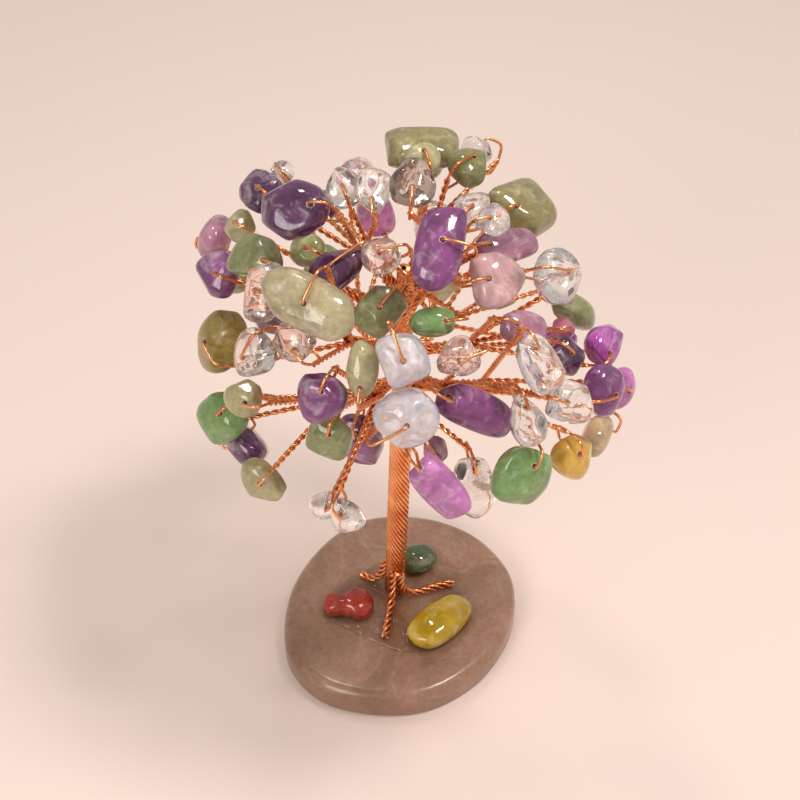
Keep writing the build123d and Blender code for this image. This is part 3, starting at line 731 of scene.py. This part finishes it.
class Limb:
    """A limb's place on the trunk, its fork and the twisted pairs that run through it to the chips."""

    def __init__(self, name):
        self.chips = [Chip(row) for row in CHIPS[name]]
        rise = LIMBS[name]
        self.on_axis = Vector((*TRUNK_HEAD, HEAD_LEVEL + rise))
        mean = sum((chip.knot for chip in self.chips), Vector()) / len(self.chips)
        away = mean - self.on_axis
        self.level = Vector((away.x, away.y, 0)).normalized()
        leader = (TRUNK_DIAMETER + (LEADER_TOP_DIAMETER - TRUNK_DIAMETER) * rise / LEADER_HEIGHT) / 2
        self.pivot = self.on_axis + self.level * (leader + BEND_CLEARANCE + LIMB_RADIUS)
        self.fork = self.pivot + (mean - self.pivot) * FORK_SHARE
        self.along = (self.fork - self.pivot).normalized()

    def pairs(self):
        """The path of each twisted pair, from inside the trunk to its chip's knot."""
        side = self.along.orthogonal().normalized()
        other = self.along.cross(side)

        def spoke(angle):
            """A direction square to the limb, at this angle round it."""
            return side * math.cos(angle) + other * math.sin(angle)

        # The pairs leave the fork from a ring, each towards its own chip
        ring_middle = self.fork + self.along * (TWIG_RADIUS + TOUCH_CLEARANCE)
        reaches = [chip.knot - ring_middle for chip in self.chips]
        fan = [math.atan2(reach.dot(other), reach.dot(side)) for reach in reaches]
        step = 2 * math.pi / len(fan)
        ring_radius = (TWIG_DIAMETER + TWIG_GAP) / (2 * math.sin(step / 2))
        order = sorted(range(len(fan)), key=lambda index: fan[index])
        lag_x = sum(math.cos(fan[index] - slot * step) for slot, index in enumerate(order))
        lag_y = sum(math.sin(fan[index] - slot * step) for slot, index in enumerate(order))
        first = math.atan2(lag_y, lag_x)

        # Before the fork they are laid as a rope
        inside = [self.on_axis + self.level * out - Vector((0, 0, depth)) for out, depth in ROPE_START]
        half_way = self.pivot.lerp(self.fork, 0.5)
        spine = through([*inside, self.pivot, half_way, self.fork], LONG_CURVE_STEPS)
        lengths = [0.0]
        for a, b in zip(spine, spine[1:]):
            lengths.append(lengths[-1] + (b - a).length)
        paths = []
        for slot, index in sorted(enumerate(order), key=lambda item: item[1]):
            turn = first + slot * step
            path = []
            for point, run in zip(spine, lengths):
                angle = turn + 2 * math.pi * (run - lengths[-1]) / ROPE_LEAD
                path.append(point + spoke(angle) * ROPE_RADIUS)
            start = ring_middle + spoke(turn) * ring_radius
            knot = self.chips[index].knot
            tail = through([path[-1], start, start.lerp(knot, 0.5), knot], SHORT_CURVE_STEPS)
            paths.append(path[:-1] + tail)
        return paths


# Pebbles
def unit_sphere():
    """Directions and faces of an even sphere."""
    work = bmesh.new()
    bmesh.ops.create_icosphere(work, subdivisions=SPHERE_LEVEL, radius=1.0)
    work.verts.ensure_lookup_table()
    directions = np.array([v.co[:] for v in work.verts])
    faces = [[v.index for v in f.verts] for f in work.faces]
    work.free()
    return directions, faces


SPHERE, SPHERE_FACES = unit_sphere()


def pebble_points(outline, size, seed, flat_depth):
    """A tumbled pebble's points: its outline, swelled to its thickness, then worn to soft flats and waves."""
    length, width, thickness = size
    edge = np.array([p[:] for p in closed_outline([(x * length, y * width) for x, y in OUTLINES[outline]])])
    bearing = np.arctan2(edge[:, 1], edge[:, 0])
    order = np.argsort(bearing)
    reach = np.interp(np.arctan2(SPHERE[:, 1], SPHERE[:, 0]), bearing[order],
                      np.hypot(edge[:, 0], edge[:, 1])[order], period=2 * math.pi)
    flat = np.hypot(SPHERE[:, 0], SPHERE[:, 1]) / reach
    steep = np.abs(SPHERE[:, 2]) / (thickness / 2)
    scale = (flat ** CHIP_POWER + steep ** CHIP_POWER) ** (-1 / CHIP_POWER)
    points = SPHERE * scale[:, None]
    draw = np.random.default_rng(seed)
    for _ in range(CHIP_FLATS):
        normal = draw.normal(size=3)
        normal /= np.linalg.norm(normal)
        height = points @ normal
        limit = height.max() * draw.uniform(*flat_depth)
        soft = CHIP_FLAT_SOFTNESS * height.max()
        excess = np.maximum(height - limit, 0)
        points -= normal * (excess - soft * (1 - np.exp(-excess / soft)))[:, None]
    wave = np.zeros(len(points))
    for _ in range(CHIP_WAVES):
        push = draw.normal(size=3) * CHIP_WAVE_RATE / max(size)
        wave += 0.5 + 0.5 * np.sin(points @ push + draw.uniform(0, 2 * math.pi))
    return points * (1 - CHIP_WAVE * wave / 2)[:, None]


def solid_mesh(name, points, faces, tint):
    """A smooth mesh in metres from points in millimetres, with its tint."""
    mesh = bpy.data.meshes.new(name)
    mesh.from_pydata((points * MM).tolist(), [], faces)
    mesh.polygons.foreach_set("use_smooth", [True] * len(mesh.polygons))
    colours = mesh.attributes.new("tint", "FLOAT_COLOR", "POINT")
    colours.data.foreach_set("color", list(linear(tint)) * len(mesh.vertices))
    return mesh


def drill_mesh(chip):
    """The round bit that cuts a chip's hole."""
    turns = np.arange(HOLE_SIDES) * 2 * math.pi / HOLE_SIDES
    spokes = np.outer(np.cos(turns), chip.along[:]) + np.outer(np.sin(turns), chip.beside[:])
    ring = HOLE_DIAMETER / 2 * spokes
    reach = np.array(chip.facing[:]) * chip.size[2]
    points = np.vstack([ring - reach, ring + reach]) + np.array(chip.hole[:])
    faces = []
    for i in range(HOLE_SIDES):
        after = (i + 1) % HOLE_SIDES
        faces.append((i, after, after + HOLE_SIDES, i + HOLE_SIDES))
    faces.append(tuple(reversed(range(HOLE_SIDES))))
    faces.append(tuple(range(HOLE_SIDES, 2 * HOLE_SIDES)))
    return solid_mesh("drill", points, faces, TINTS[chip.tint])


def chip_mesh(chip, seed):
    """One chip at its place, with its wire hole cut through it."""
    local = pebble_points(chip.outline, chip.size, seed, CHIP_FLAT_DEPTH)
    axes = np.array([chip.along[:], chip.beside[:], chip.facing[:]])
    whole = solid_mesh("chip", local @ axes + np.array(chip.middle[:]), SPHERE_FACES, TINTS[chip.tint])
    stone = new_object("chip", whole)
    drill = new_object("drill", drill_mesh(chip))
    cut = stone.modifiers.new("drill", "BOOLEAN")
    cut.operation = "DIFFERENCE"
    cut.solver = "MANIFOLD"
    cut.object = drill
    mesh = plain_mesh(stone)
    for thing in (stone, drill):
        bpy.data.objects.remove(thing)
    mesh.set_sharp_from_angle(angle=math.radians(HOLE_EDGE_ANGLE))
    return mesh


# Build the limbs, their wires and their chips
bodies = frame["bodies"]
seed = CHIP_SEED
for limb_name in LIMBS:
    limb = Limb(limb_name)
    body = f"{limb_name}_limb" if f"{limb_name}_limb" in bodies else "base"
    pairs = wire_mesh(limb.pairs(), PAIR_STRANDS, WIRE_RADIUS, PAIR_LEAD, WIRE_DIAMETER, PAIR_STEP)
    eye_paths = [chip.eye() for chip in limb.chips]
    eyes = wire_mesh(eye_paths, SINGLE_STRAND, NO_TWIST, PAIR_LEAD, WIRE_DIAMETER, PAIR_STEP)
    wires = piece(f"{limb_name}_twisted_wires", [pairs, eyes], [f"{limb_name}_limb_wires"])
    if body == "base":
        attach(wires, "base")
    else:
        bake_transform(wires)
    groups = {}
    for chip in limb.chips:
        groups.setdefault(chip.piece, []).append(chip_mesh(chip, seed))
        seed += 1
    for name, meshes in groups.items():
        node = f"{limb_name}_{name}"
        kind = name.split("_")[0]
        stones = piece(f"{node}_tumbled", meshes, [node], GEMS[kind])
        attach(stones, node if node in bodies else body)

# Trunk: a bundle of strands that leans, then thins as the limbs leave it
foot = Vector((*TRUNK_FOOT, SLAB_THICKNESS))
head = Vector((*TRUNK_HEAD, HEAD_LEVEL))
tip = head + Vector((0, 0, LEADER_HEIGHT))
bundle_radius = (TRUNK_DIAMETER - TRUNK_WIRE) / 2
top_share = (LEADER_TOP_DIAMETER - TRUNK_WIRE) / (TRUNK_DIAMETER - TRUNK_WIRE)
trunk = wire_mesh([[foot, head, tip]], TRUNK_STRANDS, bundle_radius, TRUNK_LEAD, TRUNK_WIRE, TRUNK_STEP,
                  tapers=[[1.0, 1.0, top_share]])
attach(piece("trunk_twisted_bundle", [trunk], ["trunk_bundle"]), "base")

# Roots: twisted strands down the trunk's side and over the slab
root_level = SLAB_THICKNESS + ROOT_DIAMETER / 2 + TOUCH_CLEARANCE
beside_trunk = TRUNK_DIAMETER / 2 + ROOT_DIAMETER / 2 + TOUCH_CLEARANCE
lean = (Vector(TRUNK_HEAD) - Vector(TRUNK_FOOT)) * ROOT_RUN_UP / TRUNK_HEIGHT
root_paths = []
for side, root_tip in ROOTS:
    bearing = math.radians(side)
    end = Vector(root_tip)
    knee = Vector(TRUNK_FOOT) + beside_trunk * Vector((math.cos(bearing), math.sin(bearing)))
    out = (end - knee).normalized()
    bend = knee + out * ROOT_BEND
    route = (
        (knee + lean - out * ROOT_TUCK, ROOT_RUN_UP),
        (knee, ROOT_KNEE_RISE),
        (bend, 0),
        (bend.lerp(end, 0.5), 0),
        (end, 0),
    )
    root_paths.append(through([Vector((*spot, root_level + rise)) for spot, rise in route], LONG_CURVE_STEPS))
roots = wire_mesh(root_paths, ROOT_STRANDS, (ROOT_DIAMETER - ROOT_WIRE) / 2, ROOT_LEAD, ROOT_WIRE, PAIR_STEP)
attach(piece("root_twisted_strands", [roots], ["root_strands"]), "base")

# Base stones, flat where they stand on the slab
for number, (name, (kind, outline, place, turn, size, tint)) in enumerate(BASE_STONES.items()):
    local = pebble_points(outline, size, STONE_SEED + number, STONE_FLAT_DEPTH)
    cosine = math.cos(math.radians(turn))
    sine = math.sin(math.radians(turn))
    axes = np.array([(cosine, sine, 0), (-sine, cosine, 0), (0, 0, 1)])
    points = local @ axes + np.array((*place, SLAB_THICKNESS + size[2] / 2 - STONE_SINK))
    points[:, 2] = np.maximum(points[:, 2], SLAB_THICKNESS)
    mesh = solid_mesh(name, points, SPHERE_FACES, tint)
    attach(piece(f"{name}_tumbled", [mesh], [name], GEMS[kind]), "base")


def ringed_mesh(name, outline, rings):
    """A closed mesh of rings: each ring is the outline, inset in millimetres and shrunk, at a height."""
    edge = closed_outline(outline)
    count = len(edge)
    inward = []
    for i in range(count):
        run = edge[(i + 1) % count] - edge[i - 1]
        inward.append(Vector((-run.y, run.x)).normalized())
    work = bmesh.new()
    loops = []
    for inset, shrink, height in rings:
        spots = [(p + n * inset) * shrink for p, n in zip(edge, inward)]
        loops.append([work.verts.new((*spot, height)) for spot in spots])
    for low, high in zip(loops, loops[1:]):
        for i in range(count):
            work.faces.new((low[i], low[(i + 1) % count], high[(i + 1) % count], high[i]))
    work.faces.new(list(reversed(loops[0])))
    work.faces.new(loops[-1])
    bmesh.ops.recalc_face_normals(work, faces=work.faces)
    for face in work.faces:
        face.smooth = True
    bmesh.ops.scale(work, vec=(MM, MM, MM), verts=work.verts)
    mesh = bpy.data.meshes.new(name)
    work.to_mesh(mesh)
    work.free()
    return mesh


# Slab: rounded edges, then flat rings to the middle
slab_rings = []
for angle in quarter_turn(BOTTOM_EDGE_STEPS):
    slab_rings.append((SLAB_BOTTOM_ROUND * (1 - math.sin(angle)), 1.0,
                       SLAB_BOTTOM_ROUND * (1 - math.cos(angle))))
for angle in quarter_turn(TOP_EDGE_STEPS):
    slab_rings.append((SLAB_WORN_ROUND * (1 - math.cos(angle)), 1.0,
                       SLAB_THICKNESS - SLAB_WORN_ROUND * (1 - math.sin(angle))))
for shrink in SLAB_FLAT_RINGS:
    slab_rings.append((SLAB_WORN_ROUND, shrink, SLAB_THICKNESS))
slab = piece("polished_slab", [ringed_mesh("slab", SLAB_OUTLINE, slab_rings)], ["base_slab"],
             polished_agate())
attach(slab, "base")

# Glue: a low dome with a soft rim
glue_rings = [(0, shrink, SLAB_THICKNESS + height) for shrink, height in GLUE_DOME]
glue = piece("glue_puddle", [ringed_mesh("glue", GLUE_OUTLINE, glue_rings)], ["glue_pool"],
             clear_glue())
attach(glue, "base")

# Stage, light and camera
half_floor = FLOOR_SIZE / 2 * MM
floor_mesh = bpy.data.meshes.new("floor")
floor_corners = [(x * half_floor, y * half_floor, 0) for x, y in ((-1, -1), (1, -1), (1, 1), (-1, 1))]
floor_mesh.from_pydata(floor_corners, [], [(0, 1, 2, 3)])
floor_mesh.materials.append(pale_floor())
floor = new_object("floor", floor_mesh)

world = bpy.data.worlds.new("soft_room")
world.use_nodes = True
background = world.node_tree.nodes["Background"].inputs
background["Color"].default_value = linear(ROOM_COLOUR)
background["Strength"].default_value = ROOM_LIGHT
bpy.context.scene.world = world

# Square soft lamps aimed at the crown
for name, (place, size, power) in LAMPS.items():
    lamp = bpy.data.lights.new(name, "AREA")
    lamp.size = size * MM
    lamp.energy = power
    lamp.color = linear(LAMP_COLOUR)[:3]
    stand = new_object(name, lamp)
    stand.location = [c * MM for c in place]
    stand.rotation_euler = (CROWN_CENTRE - Vector(place)).to_track_quat("-Z", "Y").to_euler()

camera = bpy.data.cameras.new("photo_camera")
camera.sensor_width = SENSOR
camera.lens = SENSOR * FOCAL_PIXELS / IMAGE_PIXELS
camera.clip_start = CLIP_START * MM
camera.clip_end = CLIP_END * MM
tripod = new_object("photo_camera", camera)
tripod.location = (CROWN_CENTRE + TOWARDS * CAMERA_DISTANCE) * MM
right_turn = math.atan((IMAGE_PIXELS / 2 - CROWN_PIXEL[0]) / FOCAL_PIXELS)
down_turn = math.atan((IMAGE_PIXELS / 2 - CROWN_PIXEL[1]) / FOCAL_PIXELS)
tripod.rotation_euler = (math.radians(90 - LOOK_DOWN) - down_turn, 0, -right_turn)
bpy.context.scene.camera = tripod
bpy.context.scene.view_settings.view_transform = "Standard"
